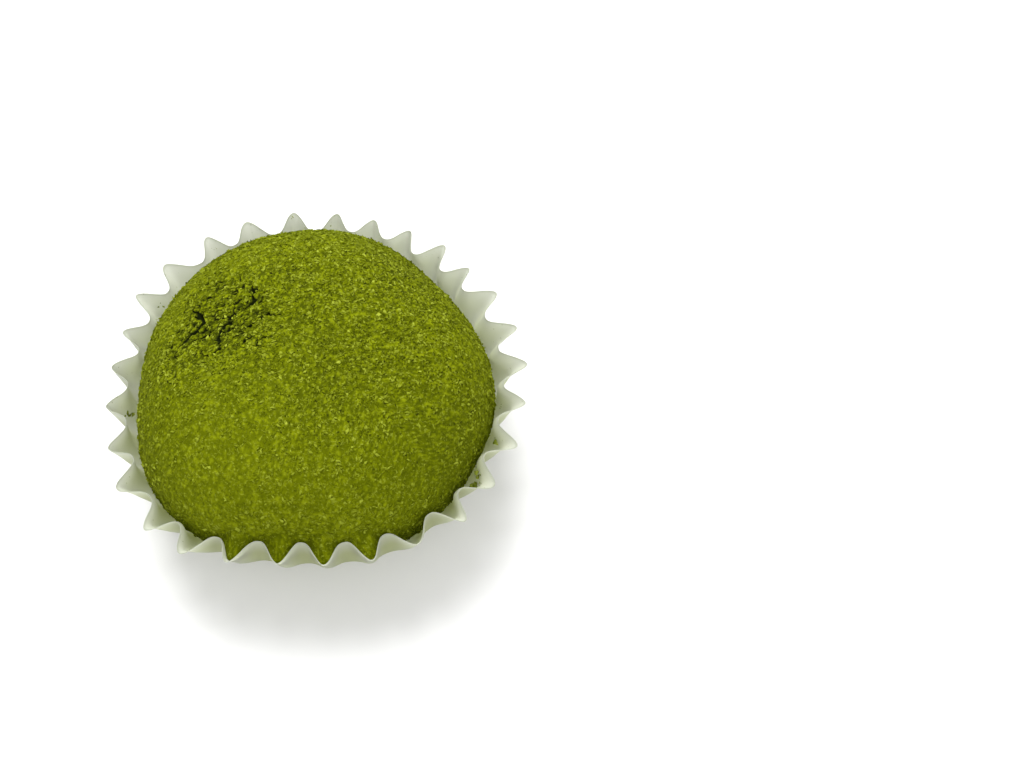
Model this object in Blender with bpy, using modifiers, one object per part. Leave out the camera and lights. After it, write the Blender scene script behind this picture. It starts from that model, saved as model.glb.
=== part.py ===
"""A powdered round rice cake sitting in its fluted paper case.

Metres, +Z up. The origin is the middle of the case's flat base, on the surface that it stands on.
+X is to the right and +Y is away, for someone who looks at the cake's front.
A bearing is an angle in degrees round +Z, from +X towards +Y.
"""

import math

import bmesh
import bpy
from mathutils import Vector, noise

MM = 0.001

# The paper case: a flat disc of greaseproof paper whose edge is pleated up into flutes.
PAPER = 0.3 * MM
FLUTES = 29
STEPS_PER_FLUTE = 7
BASE_RADIUS = 25.0 * MM
WALL_LENGTH = 23.0 * MM
TIP_RADIUS = 38.55 * MM
TIP_WAVES = (
    (1, 1.15 * MM, 295),
    (2, 0.70 * MM, 163),
    (3, 1.00 * MM, 114),
    (4, 0.85 * MM, 46),
    (5, 0.40 * MM, 11),
)
FLUTE_DEPTH = 4.6 * MM
FLUTE_START = 0.3 * MM
FLUTE_GROWTH = 3.0
FLUTE_SHARPNESS = 1.4
FIRST_FLUTE = -107.3
FLUTE_DRIFT = -5.0
DRIFT_BEARING = 80
DRIFT_FOCUS = 6
WALL_RINGS = (0.05, 0.17, 0.33, 0.55, 0.78, 1.0)
HUG_SOFTNESS = 0.3 * MM
SEAT_CLEARANCE = 0.35 * MM
SIDE_CLEARANCE = 0.2 * MM
FOOT_CLEARANCE = 0.8 * MM

# The cake: a soft dome with its widest belt low down and a flat spot where it sits on the paper.
CAKE_RADIUS = 33.5 * MM
CAKE_TOP = 37.7 * MM
BELT_HEIGHT = 16.5 * MM
BELLY_DEPTH = 18.5 * MM
TOP_FULLNESS = 2.35
FOOT_FULLNESS = 2.12
CAKE_SHIFT = Vector((0.6 * MM, -0.3 * MM, 0.0))

# Slow waves round the belt: how many, how high as a share of the radius, and a crest's bearing.
BELT_WAVES = ((1, 0.039, 242), (3, 0.0215, 90), (4, 0.0045, 56), (5, 0.0105, 2), (6, 0.010, 1))

# Hollows: bearing, rise above the belt's middle, reach and depth.
DENTS = (
    (163, 49, 9.0 * MM, 1.5 * MM),
    (52, 20, 8.0 * MM, 1.7 * MM),
    (68, 22, 8.0 * MM, 1.3 * MM),
    (186, 5, 12.0 * MM, 1.7 * MM),
)

# Cracks in the powdered skin round the first hollow, each a chain of (bearing, rise) points.
CRACKS = (
    ((132, 51), (136, 54), (142, 58), (148, 58), (154, 54)),
    ((151, 50), (156, 52), (169, 52), (176, 50), (182, 51), (187, 52), (194, 48)),
    ((160, 34), (164, 40), (169, 42), (175, 40), (182, 36), (186, 34)),
    ((166, 64), (156, 68), (148, 69), (142, 75)),
    ((192, 59), (189, 62), (186, 66)),
)
CRACK_WIDTH = 0.9 * MM
CRACK_DEPTH = 0.8 * MM
CRACK_FINE_REACH = 2.2 * MM
HOLLOW_FINE_REACH = 10.0 * MM

# Low relief over the whole skin: (size of one swell, height).
RELIEF = ((9.0 * MM, 0.30 * MM), (2.4 * MM, 0.16 * MM))
COARSE_SUBDIVISIONS = 5

COLOURS = {"rice_cake": ((0.155, 0.19, 0.012), 0.9), "paper_case": ((0.84, 0.85, 0.81), 0.6)}


def clear_scene():
    for thing in list(bpy.data.objects):
        bpy.data.objects.remove(thing)


def finish_object(name, mesh, collection):
    """Links a mesh as a named object with its own material, shaded smooth."""
    colour, roughness = COLOURS[name]
    surface = bpy.data.materials.new(name)
    surface.use_nodes = True
    shader = surface.node_tree.nodes["Principled BSDF"]
    shader.inputs["Base Color"].default_value = (*colour, 1.0)
    shader.inputs["Roughness"].default_value = roughness
    shader.inputs["Metallic"].default_value = 0.0
    mesh.materials.append(surface)
    mesh.shade_smooth()
    made = bpy.data.objects.new(name, mesh)
    collection.objects.link(made)
    return made


def waves(turn, table):
    """The sum of slow waves round the cake or case at this turn, in radians."""
    return sum(height * math.cos(count * (turn - math.radians(crest))) for count, height, crest in table)


def direction(bearing, rise):
    turn, tilt = math.radians(bearing), math.radians(rise)
    return Vector((math.cos(turn) * math.cos(tilt), math.sin(turn) * math.cos(tilt), math.sin(tilt)))


def belt_radius(turn):
    return CAKE_RADIUS * (1 + waves(turn, BELT_WAVES))


def dome_half(rise):
    """The height and fullness of the half of the dome above or below the belt."""
    if rise > 0:
        return CAKE_TOP - BELT_HEIGHT, TOP_FULLNESS
    return BELLY_DEPTH, FOOT_FULLNESS


def smooth_dome(ray):
    """Where a ray from the belt's middle meets the plain dome, with no dents."""
    level = math.hypot(ray.x, ray.y)
    half_height, fullness = dome_half(ray.z)
    spread = (level / belt_radius(math.atan2(ray.y, ray.x))) ** fullness
    spread += (abs(ray.z) / half_height) ** fullness
    return ray * spread ** (-1 / fullness)


def nearest_on_chain(point, chain):
    """The distance from a point to a chain of points joined by straight lines."""
    best = math.inf
    for start, end in zip(chain, chain[1:]):
        along = end - start
        share = max(0.0, min(1.0, (point - start).dot(along) / along.length_squared))
        best = min(best, (point - start - along * share).length)
    return best


def crack_chains():
    return [[smooth_dome(direction(*spot)) for spot in crack] for crack in CRACKS]


def skin_depth(point, chains):
    """How far the skin lies inside the plain dome at this point of it."""
    depth = 0.0
    for bearing, rise, reach, hollow in DENTS:
        away = (point - smooth_dome(direction(bearing, rise))).length
        depth += hollow * math.exp(-((away / reach) ** 2))
    for chain in chains:
        depth += CRACK_DEPTH * math.exp(-((nearest_on_chain(point, chain) / CRACK_WIDTH) ** 2))
    for size, height in RELIEF:
        depth += height * (1 - noise.noise(point / size)) / 2
    return depth


def split_near(ball, is_near):
    """Halves the edges that have an end near something, and puts the new points back on the unit ball."""
    near = {vertex for vertex in ball.verts if is_near(smooth_dome(vertex.co.normalized()))}
    edges = [edge for edge in ball.edges if edge.verts[0] in near and edge.verts[1] in near]
    bmesh.ops.subdivide_edges(ball, edges=edges, cuts=1, use_grid_fill=True)
    bmesh.ops.triangulate(ball, faces=[face for face in ball.faces if len(face.verts) > 3])
    for vertex in ball.verts:
        vertex.co.normalize()


def build_cake(collection):
    """A fine ball, finer still at the cracks, pushed out to the dome and flattened where it sits."""
    ball = bmesh.new()
    bmesh.ops.create_icosphere(ball, subdivisions=COARSE_SUBDIVISIONS, radius=1.0)
    chains = crack_chains()
    hollow = smooth_dome(direction(*DENTS[0][:2]))
    split_near(ball, lambda point: (point - hollow).length < HOLLOW_FINE_REACH)
    split_near(ball, lambda point: min(nearest_on_chain(point, chain) for chain in chains) < CRACK_FINE_REACH)
    seat = PAPER + SEAT_CLEARANCE
    for vertex in ball.verts:
        ray = vertex.co.normalized()
        point = smooth_dome(ray)
        vertex.co = point - ray * skin_depth(point, chains) + CAKE_SHIFT
        vertex.co.z = max(vertex.co.z + BELT_HEIGHT, seat)
    mesh = bpy.data.meshes.new("rice_cake")
    ball.to_mesh(mesh)
    ball.free()
    return finish_object("rice_cake", mesh, collection)


def belly_reach(turn, height):
    """How far from the origin the cake's plain side lies at this turn and height."""
    half_height, fullness = dome_half(height - BELT_HEIGHT)
    away = abs(height - BELT_HEIGHT) / half_height
    radius = belt_radius(turn) * (1 - away**fullness) ** (1 / fullness)
    return radius + CAKE_SHIFT.x * math.cos(turn) + CAKE_SHIFT.y * math.sin(turn)


def flute_share(turn):
    """0 where a flute's fold lies against the cake, 1 at its outward tip."""
    focus = ((1 + math.cos(turn - math.radians(DRIFT_BEARING))) / 2) ** DRIFT_FOCUS
    drift = FLUTE_DRIFT * focus
    phase = FLUTES * (turn - math.radians(FIRST_FLUTE + drift))
    return ((1 + math.cos(phase)) / 2) ** FLUTE_SHARPNESS


def tip_radius(turn):
    return TIP_RADIUS + waves(turn, TIP_WAVES)


def wall_height(turn, share):
    """The height above the base at this share of the way up the wall, whose paper keeps its length."""
    flare = tip_radius(turn) - FLUTE_DEPTH - BASE_RADIUS
    return share * math.sqrt(WALL_LENGTH**2 - flare**2)


def fold_radius(turn, share):
    """The radius of the inward folds, which flare evenly but stay clear of the cake's side."""
    free = BASE_RADIUS + (tip_radius(turn) - FLUTE_DEPTH - BASE_RADIUS) * share
    hug = belly_reach(turn, PAPER + wall_height(turn, share))
    hug += SIDE_CLEARANCE + FOOT_CLEARANCE * (1 - share) ** 2
    return (free + hug + math.hypot(free - hug, HUG_SOFTNESS * share)) / 2


def wall_point(turn, share):
    """A point of the paper's inner face, at this turn and share of the way up the wall."""
    rim_depth = tip_radius(turn) - fold_radius(turn, 1.0)
    depth = FLUTE_START + (rim_depth - FLUTE_START) * share**FLUTE_GROWTH
    radius = fold_radius(turn, share) + depth * flute_share(turn)
    return Vector((radius * math.cos(turn), radius * math.sin(turn), PAPER + wall_height(turn, share)))


def build_case(collection):
    """The base disc and the fluted wall as one open sheet, which Solidify gives its thickness."""
    sheet = bmesh.new()
    turns = [math.tau * step / (FLUTES * STEPS_PER_FLUTE) for step in range(FLUTES * STEPS_PER_FLUTE)]
    rings = []
    for share in (0.0, *WALL_RINGS):
        rings.append([sheet.verts.new(wall_point(turn, share)) for turn in turns])
    sheet.faces.new(rings[0])
    for lower, upper in zip(rings, rings[1:]):
        for left in range(len(turns)):
            right = (left + 1) % len(turns)
            sheet.faces.new((lower[left], upper[left], upper[right], lower[right]))
    bmesh.ops.recalc_face_normals(sheet, faces=sheet.faces)
    mesh = bpy.data.meshes.new("paper_case")
    sheet.to_mesh(mesh)
    sheet.free()
    case = finish_object("paper_case", mesh, collection)
    thickness = case.modifiers.new("thickness", "SOLIDIFY")
    thickness.thickness = PAPER
    thickness.offset = 1
    thickness.use_even_offset = True
    return case


def main():
    clear_scene()
    collection = bpy.data.collections.new("rice_cake_in_case")
    bpy.context.scene.collection.children.link(collection)
    build_case(collection)
    build_cake(collection)


main()
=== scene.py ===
# %% [markdown]
# # A tea-powdered rice cake in its paper case
# The object is a soft ball of rice dough, rolled in green tea powder and set down in a
# pleated paper case. Two things make it look real: the powder, which clumps, cracks and
# throws tiny shadows, and the paper, which is so thin that light comes through it.
# All lengths here are real ones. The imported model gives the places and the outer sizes.

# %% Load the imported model
import math

import bmesh
import bpy
import numpy as np
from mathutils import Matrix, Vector, noise


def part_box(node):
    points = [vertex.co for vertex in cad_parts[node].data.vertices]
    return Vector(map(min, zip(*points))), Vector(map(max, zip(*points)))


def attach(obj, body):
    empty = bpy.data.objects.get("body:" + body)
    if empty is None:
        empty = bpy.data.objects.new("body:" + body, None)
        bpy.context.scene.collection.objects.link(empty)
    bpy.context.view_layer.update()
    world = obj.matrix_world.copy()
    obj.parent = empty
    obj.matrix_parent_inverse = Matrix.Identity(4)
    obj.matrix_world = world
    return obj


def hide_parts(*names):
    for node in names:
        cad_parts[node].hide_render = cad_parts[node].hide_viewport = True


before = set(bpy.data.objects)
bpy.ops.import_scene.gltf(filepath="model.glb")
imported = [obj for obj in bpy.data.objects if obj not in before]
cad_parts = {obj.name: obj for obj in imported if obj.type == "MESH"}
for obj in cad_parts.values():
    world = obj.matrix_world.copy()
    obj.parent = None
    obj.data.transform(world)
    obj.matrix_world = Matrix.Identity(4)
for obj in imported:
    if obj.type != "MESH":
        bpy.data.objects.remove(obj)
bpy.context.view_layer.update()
MM = 0.001
cake_low, cake_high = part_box("rice_cake")
case_low, case_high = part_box("paper_case")
print("cake", [round(side / MM, 1) for side in np.subtract(cake_high, cake_low)], "mm")
print("case", [round(side / MM, 1) for side in np.subtract(case_high, case_low)], "mm")

# %% [markdown]
# ## The camera
# The cake was photographed from above and a little in front, about 27 cm away. The camera
# looks down at 60 degrees. Its lens is worked out from the focal length in pixels, because
# a picture 1024 pixels wide fixes how many of them a degree takes.

# %% Place the camera
PICTURE_WIDTH_PX = 1024
FOCAL_LENGTH_PX = 1350
SENSOR_WIDTH = 36
LOOK_DOWN = 60
CAMERA_PLACE = (37.2 * MM, -126 * MM, 237 * MM)
camera_data = bpy.data.cameras.new("camera")
camera_data.sensor_width = SENSOR_WIDTH
camera_data.lens = SENSOR_WIDTH * FOCAL_LENGTH_PX / PICTURE_WIDTH_PX
camera = bpy.data.objects.new("camera", camera_data)
camera.location = CAMERA_PLACE
camera.rotation_euler = (math.radians(90 - LOOK_DOWN), 0, 0)
bpy.context.scene.collection.objects.link(camera)
bpy.context.scene.camera = camera
print("lens", round(camera_data.lens, 1), "mm")

# %% [markdown]
# ## The form of the cake
# A ball of soft dough sags into a dome that is fuller than an ellipsoid. A superellipse
# gives that with one number, its fullness, and the half below the belt has its own. A few
# slow waves round the belt and some broad hollows take away the perfect circle. It could be
# sculpted by hand, but the grains and the paper have to lie on it, and they can ask a formula
# where the surface is.
# Everything works on whole arrays of points, since the skin alone has nearly 100,000.

# %% Describe the plain dome
CAKE_RADIUS = 33.5 * MM
CAKE_TOP = 37.7 * MM
BELT_HEIGHT = 16.5 * MM
BELLY_DEPTH = 18.5 * MM
TOP_FULLNESS = 2.35
FOOT_FULLNESS = 2.12
CAKE_SHIFT = np.array((0.6 * MM, -0.3 * MM, BELT_HEIGHT))
SEAT_HEIGHT = cake_low[2]
# How many waves, their height as a share of the radius, and the bearing of a crest.
BELT_WAVES = ((1, 0.039, 242), (3, 0.0215, 90), (4, 0.0045, 56), (5, 0.0105, 2), (6, 0.010, 1))


def waves(turns, table):
    return sum(height * np.cos(count * (turns - math.radians(crest))) for count, height, crest in table)


def round_the_axis(turns, radius, height):
    """Points at these turns round +Z, this far from it and this high."""
    return np.stack((radius * np.cos(turns), radius * np.sin(turns), height), -1)


def directions(bearings, rises):
    """Unit vectors from bearings round +Z and rises above the level, both in degrees."""
    tilts = np.radians(rises)
    return round_the_axis(np.radians(bearings), np.cos(tilts), np.sin(tilts))


def unit(vectors):
    return vectors / np.linalg.norm(vectors, axis=-1)[..., None]


def dome_half(above):
    """The height and fullness of the half above the belt, or below it where above is false."""
    half_height = np.where(above, CAKE_TOP - BELT_HEIGHT, BELLY_DEPTH)
    return half_height, np.where(above, TOP_FULLNESS, FOOT_FULLNESS)


def plain_dome(rays):
    """Where rays from the belt's middle meet the dome before any hollow or grain."""
    reach = CAKE_RADIUS * (1 + waves(np.arctan2(rays[:, 1], rays[:, 0]), BELT_WAVES))
    half_height, fullness = dome_half(rays[:, 2] > 0)
    spread = (np.hypot(rays[:, 0], rays[:, 1]) / reach) ** fullness
    spread += (np.abs(rays[:, 2]) / half_height) ** fullness
    return rays * (spread ** (-1 / fullness))[:, None]


print("dome top", plain_dome(directions([0], [90]))[0] / MM)

# %% [markdown]
# ## Hollows and cracks
# The powder coat cracked round a hollow where the dough was pinched shut. Each crack is a
# chain of points on the dome, and the groove is deepest on the chain. Bump in the material
# could fake them, but only real grooves show in the outline and throw shadows. The hollows
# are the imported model's own. The deep cracks run where its cracks do, but are narrower and
# deeper here. The fine ones are only here.

# %% Place the hollows and cracks
# Bearing, rise above the belt's middle, reach and depth.
HOLLOWS = (
    (163, 49, 9.0 * MM, 1.5 * MM),
    (52, 20, 8.0 * MM, 1.7 * MM),
    (68, 22, 8.0 * MM, 1.3 * MM),
    (186, 5, 12.0 * MM, 1.7 * MM),
)
# Half the width of a crack, how dark and deep it is, and its chain of (bearing, rise) points.
DEEP_CRACKS = (
    (0.40 * MM, 1.0, ((132, 51), (136, 54), (142, 58), (148, 58), (154, 54))),
    (0.38 * MM, 1.0, ((151, 50), (156, 52), (169, 52), (176, 50), (182, 51), (187, 52), (194, 48))),
    (0.43 * MM, 1.0, ((160, 34), (164, 40), (169, 42), (175, 40), (182, 36), (186, 34))),
    (0.34 * MM, 0.9, ((166, 64), (156, 68), (148, 69), (142, 75))),
    (0.30 * MM, 0.9, ((192, 59), (189, 62), (186, 66))),
)
FINE_CRACKS = (
    (0.17 * MM, 0.6, ((132, 58), (124, 58), (116, 58))),
    (0.20 * MM, 0.7, ((176, 58), (176, 61))),
    (0.20 * MM, 0.7, ((158, 41), (156, 44))),
    (0.22 * MM, 0.8, ((166, 46), (164, 48), (166, 50))),
    (0.20 * MM, 0.7, ((174, 44), (171, 47), (172, 52))),
    (0.17 * MM, 0.6, ((216, 64), (213, 67))),
)


def spot(bearing, rise):
    return plain_dome(directions([bearing], [rise]))[0]


def fading(points, places):
    """What each (bearing, rise, reach, amount) place gives the points: all near it, nothing far off."""
    given = []
    for bearing, rise, reach, amount in places:
        away = np.linalg.norm(points - spot(bearing, rise), axis=1)
        given.append(amount * np.exp(-((away / reach) ** 2)))
    return given


hollow_place = spot(*HOLLOWS[0][:2])[None]
print("cracked hollow at", ((hollow_place[0] + CAKE_SHIFT) / MM).round(1), "mm")

# %% [markdown]
# Between the large cracks lie dozens of short ones, most of them running the same way, from
# the lower left to the upper right. Placing them by hand would take long and gain nothing, so
# they are drawn at random round the hollow, from a fixed seed that gives the same ones each time.

# %% Draw the short cracks
STROKES = 120
STROKE_SEED = 5
STROKE_PLACE = (166, 49)
STROKE_DIRECTION = np.array((0.75, 0.66, 0.0))
STROKE_REACH = 4.8 * MM
STROKE_SLANT = 0.45
STROKE_BEND = 0.15
STROKE_LENGTH = 2.0 * MM
# The least and the most: half a stroke as a share of that length, half its width, its strength.
STROKE_HALVES = (0.4, 1.0)
STROKE_WIDTHS = (0.17 * MM, 0.27 * MM)
STROKE_STRENGTHS = (0.5, 1.0)


def short_strokes(count, draw):
    """Short fine cracks round the hollow: half their width, their strength and their chain."""
    middle = spot(*STROKE_PLACE)
    normal = unit(middle)
    along = unit(STROKE_DIRECTION - normal * (STROKE_DIRECTION @ normal))
    across = np.cross(normal, along)
    strokes = []
    for _ in range(count):
        offset = draw.normal(scale=STROKE_REACH, size=2)
        slant = draw.normal(scale=STROKE_SLANT)
        half = draw.uniform(*STROKE_HALVES) * STROKE_LENGTH
        half = half * (math.cos(slant) * along + math.sin(slant) * across)
        bend = draw.normal(scale=STROKE_BEND) * STROKE_LENGTH * across
        centre = middle + offset[0] * along + offset[1] * across
        chain = plain_dome(unit(np.stack((centre - half, centre + bend, centre + half))))
        strokes.append((draw.uniform(*STROKE_WIDTHS), draw.uniform(*STROKE_STRENGTHS), chain))
    return strokes


cracks = short_strokes(STROKES, np.random.default_rng(STROKE_SEED))
for width, strength, places in (*DEEP_CRACKS, *FINE_CRACKS):
    cracks.append((width, strength, np.array([spot(*place) for place in places])))
crack_length = sum(np.linalg.norm(np.diff(chain, axis=0), axis=1).sum() for _, _, chain in cracks)
print(len(cracks), "cracks,", round(crack_length / MM), "mm in all")

# %% [markdown]
# ## The powder's relief
# Dry powder on a moist surface gathers into clumps, and the dough under it is uneven too. Four
# sizes of swell make that up: broad ones of nine millimetres, lumps of over two, clumps of one,
# and the finest of half a millimetre. Blender's noise gives one field for each size. Where the
# dough was handled the fine clumps stand higher, and where it was only rolled they stay low.
# A Displace modifier could do the same, but the grains have to lie on the skin, and a formula
# tells them its height at any point without measuring a mesh.

# %% Say where the powder is rough
# Bearing, rise, reach and strength of each rough place.
ROUGH_PLACES = (
    (163, 53, 11 * MM, 1.0),
    (185, 38, 7 * MM, 0.8),
    (35, 38, 13 * MM, 0.75),
    (100, 60, 15 * MM, 0.6),
    (0, 50, 16 * MM, 0.45),
    (300, 60, 11 * MM, 0.25),
)


def noise_field(points, size, shift=0.0):
    """Blender's noise, between -1 and 1, for each of the points. Another shift gives another field."""
    offset = Vector((shift, shift, shift))
    return np.array([noise.noise(Vector(point) / size + offset) for point in points])


def roughness_of(points):
    """How rough the powder is at each point, from 0 to about 1."""
    return np.max(fading(points, ROUGH_PLACES), axis=0)


print("roughness in the hollow", roughness_of(hollow_place).round(2))

# %% [markdown]
# The powder is pale on top of its clumps and dark between them: partly its own tone, partly
# painted light on the tops and painted shade in the hollows. The same noise that makes the fine
# relief gives this too, as one number between 0 and 1, so light and dark follow the relief. A few
# broad places shift it lighter or darker, and the two low ones at the front are painted light that
# lifts the lower edge, which faces away from the main light.

# %% Describe the powder's tone and its painted light and shade
# The sizes of swell that count, and how much each one does.
TONE_SWELLS = ((0.95 * MM, 0.45), (0.5 * MM, 0.65))
# On smooth and on rough powder: the middle tone, the darkest one and the contrast.
SMOOTH_TONES = (0.53, 0.48, 0.9)
ROUGH_TONES = (0.45, 0.0, 1.45)
# Bearing, rise, reach and change of tone.
TONE_AND_PAINTED_LIGHT_PLACES = (
    (290, 70, 13 * MM, -0.12),
    (200, 15, 12 * MM, -0.08),
    (330, 18, 12 * MM, -0.06),
    (95, 40, 12 * MM, 0.06),
    (160, 20, 9 * MM, 0.08),
    # The next two are painted light: they lift the lower front edge, which faces away from the main
    # light.
    (240, 5, 9 * MM, 0.10),
    (280, 4, 8 * MM, 0.06),
    (228, 30, 11 * MM, -0.06),
    (5, 25, 12 * MM, 0.06),
    (318, 25, 11 * MM, -0.06),
    (167, 49, 5 * MM, -0.13),
)


def tone_light_and_shade(points):
    """0 deep between the clumps of powder and 1 on top, partly painted shade and painted light, with
    less contrast on smooth powder.
    """
    clumps = sum(share * noise_field(points, size) for size, share in TONE_SWELLS)
    rough = roughness_of(points)
    middle, darkest, contrast = (
        smooth + (ragged - smooth) * rough for smooth, ragged in zip(SMOOTH_TONES, ROUGH_TONES)
    )
    for change in fading(points, TONE_AND_PAINTED_LIGHT_PLACES):
        middle, darkest = middle + change, darkest + change
    return np.clip(middle + contrast * clumps, np.maximum(darkest, 0), 1)


print("tone in the hollow", tone_light_and_shade(hollow_place).round(2))

# %% [markdown]
# A crack is never an even groove. A noise pushes its line about, its width swings along the
# way, it thins out towards both ends, and here and there it nearly closes. On rough powder a
# faint net of dry cracks runs between the clumps too, wherever one more noise is near zero.

# %% Describe the cracks
CRACK_WANDER = 0.65 * MM
WANDER_SIZE = 1.1 * MM
WANDER_SHIFTS = (7.0, 8.0, 9.0)
CRACK_TIP = 0.35
CRACK_SWING = 0.55
SWING_SIZE = 1.4 * MM
SWING_SHIFT = 4.0
BREAK_SIZE = 1.1 * MM
BREAK_SHIFT = 3.0
BREAK_MIDDLE = 1.2
BREAK_CONTRAST = 1.5
BREAK_LEAST = 0.15
CRAZING_SIZE = 1.25 * MM
CRAZING_SHIFT = 11.0
CRAZING_WIDTH = 0.14
CRAZING_MIDDLE = 0.6
CRAZING_CONTRAST = 2
CRAZING_SHADE = 0.27


def nearest_on_chain(points, chain):
    """The distance to a chain, and how far along it the nearest place lies, from 0 to 1."""
    best, place = np.full(len(points), np.inf), np.zeros(len(points))
    lengths = np.linalg.norm(np.diff(chain, axis=0), axis=1)
    before = np.cumsum(lengths) - lengths
    for start, end, reached, length in zip(chain, chain[1:], before, lengths):
        along = end - start
        share = np.clip((points - start) @ along / length**2, 0, 1)
        away = np.linalg.norm(points - start - share[:, None] * along, axis=1)
        place = np.where(away < best, reached + share * length, place)
        best = np.minimum(best, away)
    return best, place / lengths.sum()


def crack_shade(points):
    """1 at the bottom of a deep crack, 0 away from all of them."""
    push = np.stack([noise_field(points, WANDER_SIZE, shift) for shift in WANDER_SHIFTS], -1)
    broken = BREAK_MIDDLE + BREAK_CONTRAST * noise_field(points, BREAK_SIZE, BREAK_SHIFT)
    broken = np.clip(broken, BREAK_LEAST, 1)
    swing = 1 + CRACK_SWING * noise_field(points, SWING_SIZE, SWING_SHIFT)
    shade = np.zeros(len(points))
    for width, strength, chain in cracks:
        away, place = nearest_on_chain(points + CRACK_WANDER * push, chain)
        here = width * swing * (CRACK_TIP + (1 - CRACK_TIP) * np.sin(math.pi * place))
        shade = np.maximum(shade, strength * broken * np.exp(-((away / here) ** 2)))
    crazing = np.exp(-((noise_field(points, CRAZING_SIZE, CRAZING_SHIFT) / CRAZING_WIDTH) ** 2))
    crazing *= np.clip(CRAZING_MIDDLE + CRAZING_CONTRAST * push[:, 0], 0, 1)
    return np.maximum(shade, CRAZING_SHADE * roughness_of(points) * crazing)


print("crack shade in the hollow", crack_shade(hollow_place).round(2))

# %% [markdown]
# The skin is the plain dome less all of these, each measured inwards along a ray from the
# belt's middle. So however the noise falls, the skin never swells out past the plain dome.

# %% Put the skin together
CRACK_DEPTH = 1.2 * MM
# Size of one swell, height on smooth powder and height on rough powder.
SWELLS = (
    (9.0 * MM, 0.30 * MM, 0.30 * MM),
    (2.4 * MM, 0.16 * MM, 0.16 * MM),
    (0.95 * MM, 0.08 * MM, 0.11 * MM),
    (0.5 * MM, 0.06 * MM, 0.15 * MM),
)


def skin_inset(points):
    """How far the powdered skin lies inside the plain dome."""
    rough = roughness_of(points)
    inset = CRACK_DEPTH * crack_shade(points) ** 2
    for depth in fading(points, HOLLOWS):
        inset += depth
    for size, smooth_height, rough_height in SWELLS:
        height = smooth_height + (rough_height - smooth_height) * rough
        inset += height * (1 - noise_field(points, size)) / 2
    return inset


def skin(rays):
    """The powdered surface along the rays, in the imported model's frame."""
    plain = plain_dome(rays)
    placed = plain - rays * skin_inset(plain)[:, None] + CAKE_SHIFT
    placed[:, 2] = np.maximum(placed[:, 2], SEAT_HEIGHT)
    return placed


print("inset in the hollow", (skin_inset(hollow_place) / MM).round(2), "mm")

# %% [markdown]
# ## The cake's skin
# A ball's usual meshes waste faces underneath, where nothing shows. Here a square grid is
# wrapped over the dome like a cloth: a formula squeezes the square into a disc, and the disc
# goes over the ball so that every cell keeps the same area. The edge is then drawn in under
# the belly by a few wide rings, and one flat face closes the spot that it sits on. Round the
# cracked hollow the cells are halved once more, since the short cracks there are only about
# 0.4 mm wide.

# %% Map a square sheet on to the ball
SHEET_REACH = math.radians(106)


def wrap(flat):
    """Turns points of the square sheet into unit rays from the belt's middle."""
    x, y = flat[:, 0], flat[:, 1]
    wide = np.abs(x) > np.abs(y)
    radius = np.where(wide, x, y)
    safe = np.where(radius == 0, 1, radius)
    turn = np.where(wide, math.pi / 4 * (y / safe), math.pi / 2 - math.pi / 4 * (x / safe))
    from_top = 2 * np.arcsin(np.clip(np.abs(radius) * math.sin(SHEET_REACH / 2), 0, 1))
    side = np.sign(radius) * np.sin(from_top)
    return np.stack((side * np.cos(turn), side * np.sin(turn), np.cos(from_top)), -1)


print("the sheet's middle goes to", wrap(np.zeros((1, 2)))[0].round(3))

# %% Make the flat sheet
SHEET_CELLS = 276
FOOT_RINGS = (1.06, 1.13, 1.215)
HALVED_PLACE = (163, 51)
HALVED_REACH = 11.5 * MM


def halve_cells(sheet, place, reach):
    """Splits the cells of the flat sheet that come to lie near a place on the dome."""
    flat = np.array([vertex.co[:] for vertex in sheet.verts])
    near = np.linalg.norm(plain_dome(wrap(flat)) - spot(*place), axis=1) < reach
    sheet.verts.index_update()
    chosen = [edge for edge in sheet.edges if all(near[vertex.index] for vertex in edge.verts)]
    bmesh.ops.subdivide_edges(sheet, edges=chosen, cuts=1, use_grid_fill=True)
    bmesh.ops.triangulate(sheet, faces=[face for face in sheet.faces if len(face.verts) > 4])


def extrude_rim(sheet, rim):
    """Adds one more ring of faces outside a rim: its new vertices, and the edges of the new rim."""
    grown = bmesh.ops.extrude_edge_only(sheet, edges=rim)["geom"]
    vertices = [item for item in grown if isinstance(item, bmesh.types.BMVert)]
    edges = [item for item in grown if isinstance(item, bmesh.types.BMEdge) and item.is_boundary]
    return vertices, edges


sheet = bmesh.new()
bmesh.ops.create_grid(sheet, x_segments=SHEET_CELLS, y_segments=SHEET_CELLS, size=1.0)
halve_cells(sheet, HALVED_PLACE, HALVED_REACH)
rim = [edge for edge in sheet.edges if edge.is_boundary]
reached = 1.0
for ring in FOOT_RINGS:
    ring_vertices, rim = extrude_rim(sheet, rim)
    for vertex in ring_vertices:
        vertex.co *= ring / reached
    reached = ring
bmesh.ops.contextual_create(sheet, geom=rim)
bmesh.ops.recalc_face_normals(sheet, faces=sheet.faces)
cake_mesh = bpy.data.meshes.new("cake_skin")
sheet.to_mesh(cake_mesh)
sheet.free()
print("flat sheet:", len(cake_mesh.vertices), "vertices")

# %% Push the sheet out to the skin
def coordinates(mesh):
    flat = np.empty(len(mesh.vertices) * 3)
    mesh.vertices.foreach_get("co", flat)
    return flat.reshape(-1, 3)


def move_vertices(mesh, places):
    mesh.vertices.foreach_set("co", np.asarray(places, dtype=float).ravel())
    mesh.update()


def add_piece(name, mesh, smooth=True):
    piece = bpy.data.objects.new(name, mesh)
    bpy.context.scene.collection.objects.link(piece)
    if smooth:
        mesh.shade_smooth()
    return piece


def store_values(mesh, name, values):
    """Keeps one number for each vertex, which a material can read by its name."""
    mesh.attributes.new(name, "FLOAT", "POINT").data.foreach_set("value", values.astype(np.float32))


def triangles(piece):
    return sum(len(face.vertices) - 2 for face in piece.data.polygons)


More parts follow.
